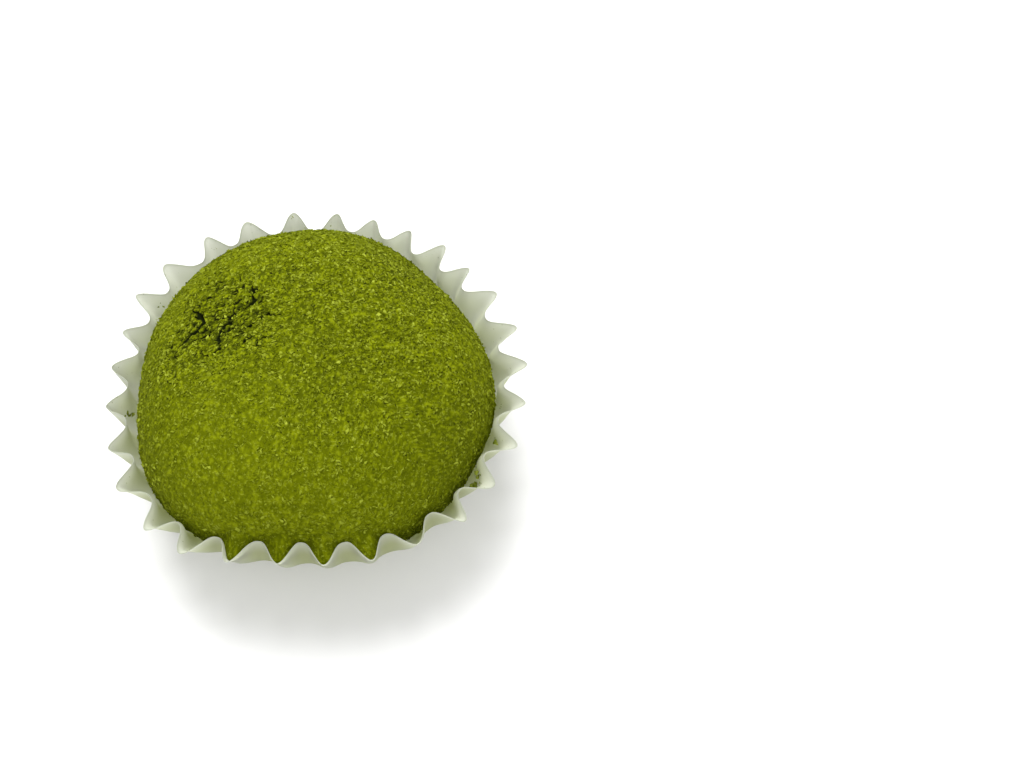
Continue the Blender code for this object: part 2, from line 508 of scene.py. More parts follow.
cake_rays = wrap(coordinates(cake_mesh))
move_vertices(cake_mesh, skin(cake_rays))
cake = add_piece("cake_skin", cake_mesh)
dome_places = plain_dome(cake_rays)
store_values(cake_mesh, "crack_shade", crack_shade(dome_places))
store_values(cake_mesh, "tone_light_and_shade", tone_light_and_shade(dome_places))
print("cake skin:", triangles(cake), "triangles")

# %% [markdown]
# ## Loose grains of powder
# A smooth noise never looks like powder, because powder is separate grains that catch the
# light one by one. Each grain here is an eight-sided chip, longer than it is wide, with its
# corners pulled about and its facets left flat, lying roughly along the skin. They are
# scattered in small clusters by drawing random rays and keeping each one with a chance that
# follows the area it stands for and how grainy the place is. A particle system could scatter
# them too, but plain chips, joined in one mesh for each shade, are simpler to export.

# %% Draw places for the grains
LOWEST_RISE = -14
HIGHEST_SINE = 0.9999
CLUSTER_SIZE = 3
CLUSTER_SPREAD = 0.40 * MM
# The highest chance of a grain at any place, which the test for keeping a ray is scaled by.
MOST_CHANCE = 1.5
# Bearing, rise, reach and share by which grains are missing, or extra where it is negative.
BARE_PLACES = (
    (239, 28, 15 * MM, 0.75),
    (252, 24, 11 * MM, 0.5),
    (354, 42, 11 * MM, -0.5),
    (84, 47, 10 * MM, -0.3),
    (318, 22, 14 * MM, 0.75),
)


def dome_frame(rays):
    """The plain dome's normals and the area that a unit of solid angle covers there."""
    sideways = unit(np.cross(rays, (0.0, 0.0, 1.0)))
    upward = np.cross(sideways, rays)
    step = 1e-3
    here = plain_dome(rays)
    across = plain_dome(rays + step * sideways) - here
    along = plain_dome(rays + step * upward) - here
    normals = np.cross(across, along)
    area = np.linalg.norm(normals, axis=1)
    normals /= area[:, None]
    normals *= np.sign((normals * rays).sum(1))[:, None]
    return normals, area / step**2


def grain_chance(points, on_rough):
    """The chance of a grain, with on_rough saying how far it depends on how rough the powder is."""
    chance = 1 - on_rough * (1 - roughness_of(points))
    for missing in fading(points, BARE_PLACES):
        chance *= 1 - missing
    return chance


def scattered_rays(count, on_rough, draw):
    """Random rays in small clusters, even over the area that shows, thinned out at the bare places."""
    found = np.empty((0, 3))
    lowest_sine = math.sin(math.radians(LOWEST_RISE))
    while len(found) * CLUSTER_SIZE < count:
        rises = np.degrees(np.arcsin(draw.uniform(lowest_sine, HIGHEST_SINE, count)))
        rays = directions(draw.uniform(0, 360, count), rises)
        area = dome_frame(rays)[1]
        bar = draw.random(count) * area.max() * MOST_CHANCE
        keep = bar < area * grain_chance(plain_dome(rays), on_rough)
        found = np.concatenate((found, rays[keep]))
    rays = np.repeat(found, CLUSTER_SIZE, axis=0)[:count]
    rays += draw.normal(scale=CLUSTER_SPREAD / CAKE_RADIUS, size=rays.shape)
    return unit(rays)


front_normal, _ = dome_frame(directions([-90], [0]))
print("the belt's front faces", front_normal[0].round(2))

# %% Make chips of powder
GRAIN_FACES = np.array(
    ((0, 2, 4), (2, 1, 4), (1, 3, 4), (3, 0, 4), (2, 0, 5), (1, 2, 5), (3, 1, 5), (0, 3, 5))
)
CORNER_JITTER = 0.28
# Above 1, it makes more of the grains dull than lively.
SHADE_SKEW = 1.8


def grain_mesh(name, centres, normals, sizes, liveliness, tilt, draw):
    """Uneven chips lying along a surface, each turned and tilted its own way, as one mesh."""
    count = len(centres)
    normals = unit(normals + draw.normal(scale=tilt, size=(count, 3)))
    lengthwise = unit(np.cross(normals, draw.normal(size=(count, 3))))
    crosswise = np.cross(normals, lengthwise)
    long, wide, thick = (sizes[:, axis, None] / 2 for axis in range(3))
    corners = np.stack(
        (
            centres - long * lengthwise,
            centres + long * lengthwise,
            centres - wide * crosswise,
            centres + wide * crosswise,
            centres + thick * normals,
            centres - thick * normals,
        ),
        axis=1,
    )
    corners += draw.normal(size=corners.shape) * CORNER_JITTER * (sizes[:, 1] / 2)[:, None, None]
    corner_count = corners.shape[1]
    faces = GRAIN_FACES[None] + corner_count * np.arange(count)[:, None, None]
    mesh = bpy.data.meshes.new(name)
    mesh.from_pydata(corners.reshape(-1, 3), [], faces.reshape(-1, 3))
    shades = draw.random(count) ** SHADE_SKEW * liveliness
    store_values(mesh, "grain_shade", np.repeat(shades, corner_count))
    return mesh


print("faces on a chip:", len(GRAIN_FACES))

# %% Scatter three shades of grain
NORMAL_TILT = 0.35
OPEN_CRACK = 0.25
ROUGH_SHRINK = 0.22
SMOOTH_LIVELINESS = 0.7
DARK_TONE_LIVELINESS = 0.5
SIZE_SPREAD = 0.30
SIZE_LIMITS = (0.4, 1.6)
WIDTH_SHARES = (0.35, 0.65)
THICKNESS_SHARES = (0.25, 0.45)


def scatter_grains(name, count, length, seed, lift, on_rough):
    """Grains of one shade, whose lengths vary round the usual one, none of them over an open crack."""
    draw = np.random.default_rng(seed)
    rays = scattered_rays(count, on_rough, draw)
    rays = rays[crack_shade(plain_dome(rays)) < OPEN_CRACK]
    count = len(rays)
    places = plain_dome(rays)
    liveliness = SMOOTH_LIVELINESS + (1 - SMOOTH_LIVELINESS) * roughness_of(places)
    # The grains follow the tone too, so they carry its painted light and shade.
    liveliness *= DARK_TONE_LIVELINESS + tone_light_and_shade(places)
    normals, _ = dome_frame(rays)
    long = length * np.clip(draw.lognormal(0, SIZE_SPREAD, count), *SIZE_LIMITS)
    long *= 1 - ROUGH_SHRINK * roughness_of(places)
    wide = long * draw.uniform(*WIDTH_SHARES, count)
    thick = long * draw.uniform(*THICKNESS_SHARES, count)
    sizes = np.stack((long, wide, thick), 1)
    centres = skin(rays) + normals * (lift * sizes[:, 2])[:, None]
    mesh = grain_mesh(name, centres, normals, sizes, liveliness, NORMAL_TILT, draw)
    piece = add_piece(name, mesh, smooth=False)
    print(f"{name}: {count} grains, {triangles(piece)} triangles")
    return piece


# The pale grains are partly paler powder and partly painted highlight.
pale_and_highlight_grains = scatter_grains(
    "pale_and_highlight_powder_grains", count=12000, length=0.71 * MM, seed=11, lift=0.22, on_rough=0.55
)
green_grains = scatter_grains(
    "green_powder_grains", count=20000, length=0.50 * MM, seed=12, lift=0.05, on_rough=0.2
)
# The dark grains are painted shade, in the gaps between clumps on rough powder.
shade_grains = scatter_grains(
    "shade_powder_grains", count=7000, length=0.42 * MM, seed=13, lift=0.0, on_rough=1.0
)

# %% [markdown]
# ## The paper case
# The case starts as a flat disc of paper that a stamp has pleated: its middle stays flat
# and the edge is gathered into flutes. A flute is a wave whose depth grows up the wall.
# Below the rim the cake's belly pushes the folds out, so the wall follows the belly there.
# The sheet is a circle, extruded ring by ring, with each ring moved on to the formula,
# and a Solidify modifier gives it the thickness of thin paper. A cloth simulation could
# gather it too, but with a formula the number and the places of the flutes can be chosen.

# %% Hold the folds clear of the belly
BASE_RADIUS = 25.0 * MM
WALL_LENGTH = 23.0 * MM
TIP_RADIUS = 38.55 * MM
TIP_WAVES = (
    (1, 1.15 * MM, 295),
    (2, 0.70 * MM, 163),
    (3, 1.00 * MM, 114),
    (4, 0.85 * MM, 46),
    (5, 0.40 * MM, 11),
)
FLUTE_DEPTH = 4.6 * MM
SIDE_CLEARANCE = 0.2 * MM
FOOT_CLEARANCE = 0.8 * MM
HUG_SOFTNESS = 0.3 * MM
WALL_SET_OUT = 0.05 * MM


def tip_radius(turns):
    return TIP_RADIUS + waves(turns, TIP_WAVES)


def wall_height(turns, share):
    """The height at this share of the way up the wall, whose paper keeps its length."""
    flare = tip_radius(turns) - FLUTE_DEPTH - BASE_RADIUS
    return share * np.sqrt(WALL_LENGTH**2 - flare**2)


def belly_reach(turns, height):
    """How far from the origin the cake's plain side lies at this height."""
    half_height, fullness = dome_half(height > BELT_HEIGHT)
    away = np.abs(height - BELT_HEIGHT) / half_height
    radius = CAKE_RADIUS * (1 + waves(turns, BELT_WAVES)) * (1 - away**fullness) ** (1 / fullness)
    return radius + CAKE_SHIFT[0] * np.cos(turns) + CAKE_SHIFT[1] * np.sin(turns)


def fold_radius(turns, share):
    """The radius of the inward folds, which flare evenly but stay clear of the belly."""
    free = BASE_RADIUS + (tip_radius(turns) - FLUTE_DEPTH - BASE_RADIUS) * share
    hug = belly_reach(turns, wall_height(turns, share) + WALL_SET_OUT)
    hug = hug + SIDE_CLEARANCE + FOOT_CLEARANCE * (1 - share) ** 2
    return (free + hug + np.hypot(free - hug, HUG_SOFTNESS * share)) / 2


front_turn = np.radians([270.0])
print("rim height at the front", (wall_height(front_turn, 1.0) / MM).round(1), "mm")

# %% Gather the wall into flutes
FLUTES = 29
FLUTE_START = 0.3 * MM
FLUTE_GROWTH = 3.0
FLUTE_SHARPNESS = 1.4
FIRST_FLUTE = -107.3
FLUTE_DRIFT = -5.0
DRIFT_BEARING = 80
DRIFT_FOCUS = 6
PAPER_THICKNESS = 0.10 * MM
# Waves that make the flutes uneven: in degrees of place, as a share of depth, and in height.
PLACE_WAVES = ((9, 0.30, 31), (13, 0.25, 5), (17, 0.25, 13))
DEPTH_WAVES = ((8, 0.05, 12), (11, 0.05, 20), (15, 0.04, 4))
RIM_WAVES = ((5, 0.12 * MM, 40), (19, 0.10 * MM, 7))
RIM_FOCUS = 4
# Faint creases that run up the wall.
CREASE_HEIGHT = 0.30 * MM
CREASE_SIZE = 1.7 * MM
CREASE_SHIFT = 5.0
CREASE_STRETCH = 4


def flute_share(turns):
    """0 at a fold that lies against the cake, 1 at the outward tip of a flute."""
    focus = ((1 + np.cos(turns - math.radians(DRIFT_BEARING))) / 2) ** DRIFT_FOCUS
    place = FIRST_FLUTE + FLUTE_DRIFT * focus + waves(turns, PLACE_WAVES)
    return ((1 + np.cos(FLUTES * (turns - np.radians(place)))) / 2) ** FLUTE_SHARPNESS


def wall_ring(turns, share):
    """One level ring of the pleated wall, at this share of the way up."""
    rim_depth = tip_radius(turns) - fold_radius(turns, 1.0)
    rim_depth *= 1 + waves(turns, DEPTH_WAVES)
    depth = FLUTE_START + (rim_depth - FLUTE_START) * share**FLUTE_GROWTH
    radius = fold_radius(turns, share) + WALL_SET_OUT + depth * flute_share(turns)
    height = PAPER_THICKNESS / 2 + wall_height(turns, share) + share**RIM_FOCUS * waves(turns, RIM_WAVES)
    unrolled = round_the_axis(turns, radius, height / CREASE_STRETCH)
    crease = (1 + noise_field(unrolled, CREASE_SIZE, CREASE_SHIFT)) / 2
    radius = radius + CREASE_HEIGHT * share**2 * crease
    return round_the_axis(turns, radius, height)


print("a point of the rim at the front", (wall_ring(front_turn, 1.0)[0] / MM).round(1), "mm")

# %% Extrude the paper ring by ring
STEPS_PER_FLUTE = 20
WALL_RINGS = 34
# Below 1, it sets the rings closer together towards the rim.
RING_CROWDING = 0.8
paper_sheet = bmesh.new()
bmesh.ops.create_circle(
    paper_sheet, segments=FLUTES * STEPS_PER_FLUTE, radius=BASE_RADIUS, cap_ends=True
)
ring_vertices, rim = paper_sheet.verts[:], paper_sheet.edges[:]
sheet_turns, sheet_shares = [], []
for ring in range(WALL_RINGS + 1):
    share = (ring / WALL_RINGS) ** RING_CROWDING
    if ring:
        ring_vertices, rim = extrude_rim(paper_sheet, rim)
    turns = np.array([math.atan2(vertex.co.y, vertex.co.x) for vertex in ring_vertices])
    for vertex, place in zip(ring_vertices, wall_ring(turns, share)):
        vertex.co = place
    sheet_turns.append(turns)
    sheet_shares.append(np.full(len(turns), share))
for edge in rim:
    edge.smooth = False
bmesh.ops.recalc_face_normals(paper_sheet, faces=paper_sheet.faces)
paper_mesh = bpy.data.meshes.new("pleated_paper_case")
paper_sheet.to_mesh(paper_mesh)
paper_sheet.free()
paper = add_piece("pleated_paper_case", paper_mesh)
thickness = paper.modifiers.new("thickness", "SOLIDIFY")
thickness.thickness = PAPER_THICKNESS
thickness.offset = 0
print("paper case:", len(paper_mesh.polygons), "faces before its thickness")

# %% [markdown]
# Where the paper touches the cake it gets a painted green shade, for the cake's green shining
# through it and for the shade it lies in. It is strongest at the front, where the cake leans on
# it and which faces away from the main light, faint at the back and weaker at the outward tips.
# That follows the flutes, so it is worked out on the sheet's vertices from the numbers that
# shaped it, and the paper's material reads it there.

# %% Mark the paper's painted green shade and its cut edge
# Painted shade: where it fades out up the wall, how much lighter the flute tips stay, the bearing where
# it is strongest and how much is left at the back.
PAINTED_SHADE_FADE = (1.05, 0.82)
TIP_WHITENESS = 0.6
LEAN_AND_SHADE_BEARING = 280
BACK_PAINTED_SHADE = 0.2
EDGE_SHARE = 0.995
sheet_turns, sheet_shares = np.concatenate(sheet_turns), np.concatenate(sheet_shares)
painted_shade = np.clip((PAINTED_SHADE_FADE[0] - sheet_shares) / (PAINTED_SHADE_FADE[0] - PAINTED_SHADE_FADE[1]), 0, 1)
painted_shade *= BACK_PAINTED_SHADE + (1 - BACK_PAINTED_SHADE) * (1 + np.cos(sheet_turns - math.radians(LEAN_AND_SHADE_BEARING))) / 2
store_values(paper_mesh, "painted_green_shade", painted_shade * (1 - TIP_WHITENESS * flute_share(sheet_turns)))
store_values(paper_mesh, "cut_edge", (sheet_shares > EDGE_SHARE).astype(float))
print("tinted vertices:", int((painted_shade > 0.5).sum()), "of", len(painted_shade))

# %% [markdown]
# ## Powder wedged in the front flutes
# At the front the cake leans on its case, and powder rubbed off it fills the flutes almost
# to the rim. It is a strip between the cake's belly and the paper: its inner edge hides
# inside the cake and its outer edge follows the flutes. Top and bottom are two such strips,
# joined all round, so it is a closed body like the rest.

# %% Shape the strips
WEDGE_BEARINGS = (246.5, 296.2)
WEDGE_STEP = 0.35
WEDGE_ROWS = 9
WEDGE_SHARE = 0.93
WEDGE_DEPTH = 2.0 * MM
WEDGE_RISE = 3.6 * MM
WEDGE_HEAP = 1.5
WEDGE_OVERLAP = 0.8 * MM


def wedge_strip(bearings, drop):
    """Rows of points from inside the cake's belly out to the paper, this far below the powder's top."""
    turns = np.radians(bearings)
    height = wall_height(turns, WEDGE_SHARE) - drop
    inner = belly_reach(turns, height + WEDGE_RISE) - WEDGE_OVERLAP
    depth_share = height / wall_height(turns, 1.0)
    outer = np.hypot(*wall_ring(turns, depth_share)[:, :2].T) - PAPER_THICKNESS / 2
    rows = []
    for outward in np.linspace(0, 1, WEDGE_ROWS):
        radius = inner + (outer - inner) * outward
        heaped = height + WEDGE_RISE * (1 - outward) ** WEDGE_HEAP
        rows.append(round_the_axis(turns, radius, heaped))
    return np.concatenate(rows)


def strip_faces(columns, first):
    """Square faces between neighbouring rows and columns of a strip."""
    start = first + np.arange(WEDGE_ROWS - 1)[:, None] * columns + np.arange(columns - 1)[None]
    return np.stack((start, start + 1, start + columns + 1, start + columns), -1).reshape(-1, 4)


bearings = np.arange(*WEDGE_BEARINGS, WEDGE_STEP)
top, bottom = wedge_strip(bearings, 0.0), wedge_strip(bearings, WEDGE_DEPTH)
print("a strip of powder has", len(top), "points")

# %% Close the powder into one body
# Size and height of the lumps, and how suddenly they end at the paper.
WEDGE_LUMPS = ((1.4 * MM, 0.5 * MM), (0.6 * MM, 0.25 * MM))
LUMP_FOCUS = 4
# Painted shade: the wedged powder's tone is lowered for the shade under the cake's belly.
WEDGE_PAINTED_SHADE = 0.1
level_at_the_paper = 1 - np.linspace(0, 1, WEDGE_ROWS) ** LUMP_FOCUS
level_at_the_paper = np.repeat(level_at_the_paper, len(bearings))
for size, height in WEDGE_LUMPS:
    top[:, 2] += height * level_at_the_paper * noise_field(top, size)
columns, half = len(bearings), len(top)
left = [row * columns for row in range(WEDGE_ROWS)]
right = [start + columns - 1 for start in left]
last_row = range(half - columns, half)
outline = [*range(columns), *right[1:], *reversed(last_row[:-1]), *reversed(left[1:-1])]
sides = [
    (here, after, after + half, here + half)
    for here, after in zip(outline, outline[1:] + outline[:1])
]
lids = [*strip_faces(columns, 0), *strip_faces(columns, half)[:, ::-1]]
wedge_mesh = bpy.data.meshes.new("powder_in_the_flutes")
wedge_mesh.from_pydata(np.concatenate((top, bottom)), [], [*lids, *sides])
wedge_form = bmesh.new()
wedge_form.from_mesh(wedge_mesh)
bmesh.ops.recalc_face_normals(wedge_form, faces=wedge_form.faces)
wedge_form.to_mesh(wedge_mesh)
wedge_form.free()
wedge = add_piece("powder_in_the_flutes", wedge_mesh)
store_values(wedge_mesh, "tone_light_and_shade", np.tile(tone_light_and_shade(top) - WEDGE_PAINTED_SHADE, 2))
store_values(wedge_mesh, "crack_shade", np.zeros(2 * half))
print("powder in the flutes:", triangles(wedge), "triangles")

# %% [markdown]
# ## Crumbs that fell on the paper
# Some powder comes off when the cake is set down. It gathers as small crumbs and specks
# inside the flutes. Each group is placed by its bearing and how far up the wall it lies. Its
# crumbs are the same kind of chip as the grains, laid flat on the paper, and a fine dust of
# specks goes all round. Any corner that would poke through the thin paper is drawn in again.

# %% Choose places for the crumbs
# Bearing, share of the way up the wall, spread, how many crumbs, and their usual length.
CRUMB_GROUPS = (
    (187.6, 0.70, 0.70 * MM, 14, 0.85 * MM),
    (150.4, 0.87, 0.60 * MM, 6, 0.60 * MM),
    (149.0, 0.80, 1.10 * MM, 9, 0.40 * MM),
    (329.5, 0.87, 0.30 * MM, 7, 1.10 * MM),
    (327.0, 0.74, 0.35 * MM, 7, 1.00 * MM),
    (328.5, 0.82, 1.40 * MM, 18, 0.40 * MM),
    (342.0, 0.82, 0.30 * MM, 5, 0.75 * MM),
    (356.0, 0.72, 0.90 * MM, 5, 0.40 * MM),
    (322.0, 0.88, 0.50 * MM, 4, 0.45 * MM),
    (100.4, 0.98, 0.15 * MM, 2, 0.50 * MM),
    (95.5, 0.98, 0.20 * MM, 2, 0.40 * MM),
    (88.5, 0.94, 0.20 * MM, 2, 0.45 * MM),
    (41.8, 0.74, 0.40 * MM, 3, 0.50 * MM),
    (8.0, 0.85, 1.00 * MM, 4, 0.35 * MM),
    (232.0, 0.90, 1.50 * MM, 5, 0.30 * MM),
)
DUST_SPECKS = 260
DUST_LENGTH = 0.15 * MM
DUST_SPREAD = 0.12
# The least and the most: the length as a share of the usual one, and the share of the way up.
CRUMB_LENGTHS = (0.5, 1.6)
DUST_LENGTHS = (0.5, 1.5)
CRUMB_SHARES = (0.6, 0.995)
# No crumb lies on the crests between the flutes.
CREST_SHARE = 0.30
CRUMB_SEED = 21
draw = np.random.default_rng(CRUMB_SEED)
turns, shares, lengths = [], [], []
for bearing, share, spread, count, length in CRUMB_GROUPS:
    turns.append(math.radians(bearing) + draw.normal(size=count) * spread / TIP_RADIUS)
    shares.append(share + draw.normal(size=count) * spread / WALL_LENGTH)
    lengths.append(length * draw.uniform(*CRUMB_LENGTHS, count))
turns.append(draw.uniform(0, 2 * math.pi, DUST_SPECKS))
shares.append(1 - np.abs(draw.normal(size=DUST_SPECKS)) * DUST_SPREAD)
lengths.append(DUST_LENGTH * draw.uniform(*DUST_LENGTHS, DUST_SPECKS))
turns, shares, lengths = (np.concatenate(values) for values in (turns, shares, lengths))
in_a_flute = flute_share(turns) > CREST_SHARE
turns, shares, lengths = (values[in_a_flute] for values in (turns, shares, lengths))
shares = np.clip(shares, *CRUMB_SHARES)
print("places for crumbs:", len(turns))

# %% Lay the crumbs on the paper
# A crumb's length, width and thickness as shares of its length.
CRUMB_SHAPE = np.array((1.0, 0.70, 0.50))
CRUMB_TILT = 0.08
CRUMB_LIFT = 0.7
# The radius of the hollow that a crumb lies in, which lifts the long ones more.
FLUTE_CURVE = 1.0 * MM


def on_the_paper(turns, shares, lift):
    """Places on the inner face of the wall, and the directions that point off it."""
    step = 1e-3
    here = wall_ring(turns, shares)
    across = wall_ring(turns + step, shares) - here
    upward = wall_ring(turns, shares - step) - here
    normals = unit(np.cross(across, upward))
    normals *= -np.sign((normals * here)[:, :2].sum(1))[:, None]
    return here + normals * (PAPER_THICKNESS / 2 + lift)[:, None], normals


def keep_inside_the_paper(mesh):
    """Draws in the corners that would stick out through the wall."""
    corners = coordinates(mesh)
    turns = np.arctan2(corners[:, 1], corners[:, 0])
    shares = np.clip(corners[:, 2] / wall_height(turns, 1.0), 0, 1)
    limit = np.hypot(*wall_ring(turns, shares)[:, :2].T) - PAPER_THICKNESS
    corners[:, :2] *= np.minimum(1, limit / np.hypot(corners[:, 0], corners[:, 1]))[:, None]
    move_vertices(mesh, corners)


sizes = lengths[:, None] * CRUMB_SHAPE
# The middle of a straight crumb stands off a hollow by its length squared over 8 radii.
lifts = sizes[:, 2] * CRUMB_LIFT + lengths**2 / (8 * FLUTE_CURVE)
centres, normals = on_the_paper(turns, shares, lifts)
crumb_mesh = grain_mesh("crumbs_on_the_paper", centres, normals, sizes, 1.0, CRUMB_TILT, draw)
keep_inside_the_paper(crumb_mesh)
crumbs = add_piece("crumbs_on_the_paper", crumb_mesh, smooth=False)
print("crumbs:", len(lengths), "pieces,", triangles(crumbs), "triangles")

# %% [markdown]
# ## The powder's colours
# Green tea powder is a dull olive green. The grains that stand up are painted pale and
# yellowish, partly paler powder and partly painted highlight, and the gaps between them nearly
# black green, mostly painted shade, so one flat colour would look like felt.
# A node group makes the fine pattern that all the powder shares: pale flecks where one
# noise passes its middle value, broken up by a second noise, and dark gaps where a third is
# low. Each material gives the group its own grain size and turns the masks into colours.

# %% Build the powder's pattern group
FLECK_STRETCH = 0.55
FLECK_WIDTH = 0.045
FLECK_BEND = 0.8
# The noise values between which flecks come in, and those between which gaps do.
BREAK_RANGE = (0.44, 0.58)
GAP_RANGE = (0.46, 0.34)


def add_node(tree, kind, **values):
    """A shader node with some inputs set, named as the interface names them."""
    made = tree.nodes.new("ShaderNode" + kind)
    for name, value in values.items():
        made.inputs[name.replace("_", " ")].default_value = value
    return made


def calculate(tree, operation, first, second=0.0):
    """A Math node on two values, each one a number or another node's output."""
    made = tree.nodes.new("ShaderNodeMath")
    made.operation = operation
    for socket, value in zip(made.inputs, (first, second)):
        if isinstance(value, float):
            socket.default_value = value
        else:
            tree.links.new(value, socket)
    return made.outputs["Value"]


def ranged(tree, value, low, high):
    """0 where a value is at low, 1 where it is at high, and even between them."""
    made = tree.nodes.new("ShaderNodeMapRange")
    made.inputs["From Min"].default_value = low
    made.inputs["From Max"].default_value = high
    tree.links.new(value, made.inputs["Value"])
    return made.outputs["Result"]


def powder_pattern_group():
    """Masks of pale flecks and dark gaps and a height, from the number of grains in a metre."""
    group = bpy.data.node_groups.new("powder_pattern", "ShaderNodeTree")
    group.interface.new_socket("Scale", in_out="INPUT", socket_type="NodeSocketFloat")
    for name in ("Flecks", "Gaps", "Height"):
        group.interface.new_socket(name, in_out="OUTPUT", socket_type="NodeSocketFloat")
    start, ends = group.nodes.new("NodeGroupInput"), group.nodes.new("NodeGroupOutput")
    places = add_node(group, "TexCoord")
    scale = start.outputs["Scale"]
    wide_scale = calculate(group, "MULTIPLY", scale, FLECK_STRETCH)

    def noise_at(its_scale, detail, distortion):
        texture = add_node(group, "TexNoise", Detail=detail, Distortion=distortion)
        group.links.new(places.outputs["Object"], texture.inputs["Vector"])
        group.links.new(its_scale, texture.inputs["Scale"])
        return texture.outputs["Fac"]

    fine = noise_at(scale, detail=2.0, distortion=0.0)
    bent = noise_at(wide_scale, detail=1.0, distortion=FLECK_BEND)
    away = calculate(group, "ABSOLUTE", calculate(group, "SUBTRACT", bent, 0.5))
    broken = ranged(group, noise_at(scale, detail=0.0, distortion=FLECK_BEND / 2), *BREAK_RANGE)
    flecks = calculate(group, "MULTIPLY", ranged(group, away, FLECK_WIDTH, 0.0), broken)
    group.links.new(flecks, ends.inputs["Flecks"])
    group.links.new(ranged(group, fine, *GAP_RANGE), ends.inputs["Gaps"])
    group.links.new(calculate(group, "ADD", fine, flecks), ends.inputs["Height"])
    return group


pattern_group = powder_pattern_group()
print("the pattern's sockets:", [item.name for item in pattern_group.interface.items_tree])

# %% [markdown]
# The skin goes through three greens by the tone that was stored on its vertices, so the colour
# follows the relief, with painted light on the clumps and painted shade between them. Then it
# takes on the flecks, partly painted highlight, and the gaps, mostly painted shade, and turns
# nearly black in the cracks, a painted shade in the grooves. The loose grains read a number that
# each of them carries, so that no two neighbours have the same green.

# %% Make the skin's material
# The gap and crack greens are mostly painted shade, and the pale green is partly painted highlight.
GAP_SHADE_GREEN = (0.043, 0.055, 0.0004, 1)
POWDER_GREEN = (0.103, 0.126, 0.0004, 1)
LIVELY_GREEN = (0.188, 0.222, 0.003, 1)
PALE_AND_HIGHLIGHT_GREEN = (0.310, 0.360, 0.034, 1)
CRACK_SHADE_GREEN = (0.006, 0.009, 0.001, 1)
DRY_GLOSS = 0.04
SKIN_GRAIN = 0.47 * MM
FLECK_SHARE = 0.6
GAP_SHARE = 0.45
# The tones between which one green gives way to the next, and the crack shades that turn black.
DARK_TO_MIDDLE = (0.20, 0.50)
MIDDLE_TO_LIVELY = (0.50, 0.90)
CRACK_TO_BLACK = (0.08, 0.42)


def new_material(name, roughness, gloss):
    made = bpy.data.materials.new(name)
    made.use_nodes = True
    shader = made.node_tree.nodes["Principled BSDF"]
    shader.inputs["Roughness"].default_value = roughness
    shader.inputs["Specular IOR Level"].default_value = gloss
    return made, made.node_tree, shader


def mix_colours(tree, share, first, second):
    """A Mix node between two colours, each one a fixed colour or another node's output."""
    mixed = tree.nodes.new("ShaderNodeMix")
    mixed.data_type = "RGBA"
    tree.links.new(share, mixed.inputs["Factor"])
    for socket, colour in ((mixed.inputs[6], first), (mixed.inputs[7], second)):
        if isinstance(colour, tuple):
            socket.default_value = colour
        else:
            tree.links.new(colour, socket)
    return mixed.outputs[2]


def stored_value(tree, name):
    read = tree.nodes.new("ShaderNodeAttribute")
    read.attribute_name = name
    return read.outputs["Fac"]


def add_pattern(tree, grain):
    pattern = tree.nodes.new("ShaderNodeGroup")
    pattern.node_tree = pattern_group
    pattern.inputs["Scale"].default_value = 1 / grain
    return pattern.outputs


def add_bump(tree, shader, height, strength, distance):
    bump = add_node(tree, "Bump", Strength=strength, Distance=distance)
    tree.links.new(height, bump.inputs["Height"])
    tree.links.new(bump.outputs["Normal"], shader.inputs["Normal"])


def skin_material():
    made, tree, shader = new_material("tea_powder_skin", roughness=0.95, gloss=DRY_GLOSS)
    # Painted light and shade: the stored tone is pale on the clumps and dark between them.
    tone = stored_value(tree, "tone_light_and_shade")
    coat = mix_colours(tree, ranged(tree, tone, *DARK_TO_MIDDLE), GAP_SHADE_GREEN, POWDER_GREEN)
    coat = mix_colours(tree, ranged(tree, tone, *MIDDLE_TO_LIVELY), coat, LIVELY_GREEN)
    pattern = add_pattern(tree, SKIN_GRAIN)
    # Painted shade: the gaps turn dark green.
    gaps = calculate(tree, "MULTIPLY", pattern["Gaps"], GAP_SHARE)
    coat = mix_colours(tree, gaps, coat, GAP_SHADE_GREEN)
    # Partly painted highlight: the flecks turn pale.
    flecks = calculate(tree, "MULTIPLY", pattern["Flecks"], FLECK_SHARE)
    coat = mix_colours(tree, flecks, coat, PALE_AND_HIGHLIGHT_GREEN)
    # Painted shade: the cracks turn nearly black.
    black = ranged(tree, stored_value(tree, "crack_shade"), *CRACK_TO_BLACK)
    coat = mix_colours(tree, black, coat, CRACK_SHADE_GREEN)
    tree.links.new(coat, shader.inputs["Base Color"])
    add_bump(tree, shader, pattern["Height"], strength=0.65, distance=0.15 * MM)
    return made


tea_skin = skin_material()
cake.data.materials.append(tea_skin)
wedge.data.materials.append(tea_skin)
print("nodes in the skin's material:", len(tea_skin.node_tree.nodes))

# %% Make the grains' materials
CHIP_GRAIN = 0.16 * MM
CHIP_GAP_SHARE = 0.3
# A piece, its material's name, and the greens of its dullest and its liveliest grains.
# The pale grains are partly painted highlight, and the dark ones are painted shade.
GRAIN_COLOURS = (
    (pale_and_highlight_grains, "pale_and_highlight_tea_grains", (0.132, 0.160, 0.002, 1), PALE_AND_HIGHLIGHT_GREEN),
    (green_grains, "green_tea_grains", (0.080, 0.100, 0.0005, 1), (0.140, 0.170, 0.0015, 1)),
    (shade_grains, "shade_tea_grains", (0.025, 0.033, 0.001, 1), (0.070, 0.088, 0.001, 1)),
    (crumbs, "fallen_tea_crumbs", (0.150, 0.185, 0.012, 1), (0.340, 0.390, 0.070, 1)),
)


